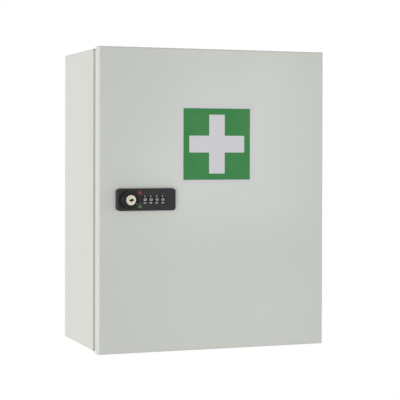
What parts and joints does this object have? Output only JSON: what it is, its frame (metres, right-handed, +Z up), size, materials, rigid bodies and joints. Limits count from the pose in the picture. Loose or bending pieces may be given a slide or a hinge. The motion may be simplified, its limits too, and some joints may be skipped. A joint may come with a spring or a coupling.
{
  "type": "lockable medicine cabinet",
  "caption": "Wall-hung folded-steel medicine cabinet with shelves, a strip-hinged door, a first-aid cross and a combination cam lock with key override.",
  "frame": {"origin": "centre of the four wall holes, on the back face that lies against the wall", "axes": "+X to the right seen from the front, +Y back into the wall, +Z up; the door faces -Y"},
  "size_m": [0.3238, 0.1867, 0.4],
  "materials": {
    "body_paint": "light grey satin powder coat",
    "door_paint": "light grey satin powder coat",
    "bare_steel": "zinc plated",
    "buffer_rubber": "matt",
    "sign_white": "printed film",
    "sign_green": "printed film",
    "lock_black": "fine textured moulding",
    "lock_cast": "die-cast",
    "lock_brass": "machined",
    "key_nickel": "satin nickel plate"
  },
  "bodies": {
    "cabinet": {"body_shell": "body_paint", "back_panel": "body_paint", "shelf_ledges": "body_paint", "shelves": "body_paint", "door_buffers": "buffer_rubber", "hinge_leaf_body": "body_paint", "hinge_pin": "bare_steel"},
    "door": {"door_pan": "door_paint", "hinge_leaf_door": "body_paint", "sign_base": "sign_white", "sign_field": "sign_green", "lock_housing": "lock_black", "lock_end_cap": "lock_black", "lock_case": "lock_cast", "case_screws": "bare_steel", "cap_screw": "bare_steel", "dial_axle": "bare_steel", "detent_spring": "bare_steel", "slide_spring": "bare_steel"},
    "dial_1": {"dial_wheel_1": "lock_black", "code_sleeve_1": "lock_brass"},
    "dial_2": {"dial_wheel_2": "lock_black", "code_sleeve_2": "lock_brass"},
    "dial_3": {"dial_wheel_3": "lock_black", "code_sleeve_3": "lock_brass"},
    "dial_4": {"dial_wheel_4": "lock_black", "code_sleeve_4": "lock_brass"},
    "blocker": {"blocking_slide": "lock_brass"},
    "knob_group": {"knob": "lock_black", "knob_spindle": "bare_steel", "key_cylinder": "key_nickel", "cam": "bare_steel", "cam_washer": "bare_steel", "cam_screw": "bare_steel"},
    "plug": {"key_plug": "key_nickel"}
  },
  "joints": [
    {"name": "door_hinge", "type": "hinge", "parent": "cabinet", "child": "door", "pos_m": [0.16, -0.14725, 0], "axis": [0, 0, 1], "range_deg": [0, 150]},
    {"name": "knob_turn", "type": "hinge", "parent": "door", "child": "knob_group", "pos_m": [-0.1223, -0.1655, 0.001], "axis": [0, -1, 0], "range_deg": [0, 90]},
    {"name": "key_turn", "type": "hinge", "parent": "knob_group", "child": "plug", "pos_m": [-0.1223, -0.1655, 0.001], "axis": [0, 1, 0], "range_deg": [0, 90]},
    {"name": "dial_1_turn", "type": "hinge", "parent": "door", "child": "dial_1", "pos_m": [-0.0998, -0.1678, 0.001], "axis": [1, 0, 0], "continuous": true},
    {"name": "dial_2_turn", "type": "hinge", "parent": "door", "child": "dial_2", "pos_m": [-0.0917, -0.1678, 0.001], "axis": [1, 0, 0], "continuous": true},
    {"name": "dial_3_turn", "type": "hinge", "parent": "door", "child": "dial_3", "pos_m": [-0.0836, -0.1678, 0.001], "axis": [1, 0, 0], "continuous": true},
    {"name": "dial_4_turn", "type": "hinge", "parent": "door", "child": "dial_4", "pos_m": [-0.0755, -0.1678, 0.001], "axis": [1, 0, 0], "continuous": true},
    {"name": "blocker_slide", "type": "slide", "parent": "door", "child": "blocker", "axis": [-1, 0, 0], "range_m": [0, 0.002]}
  ],
  "couplings": [
    {"joint": "blocker_slide", "follows": "knob_turn", "m_per_rad": 0.001273}
  ]
}
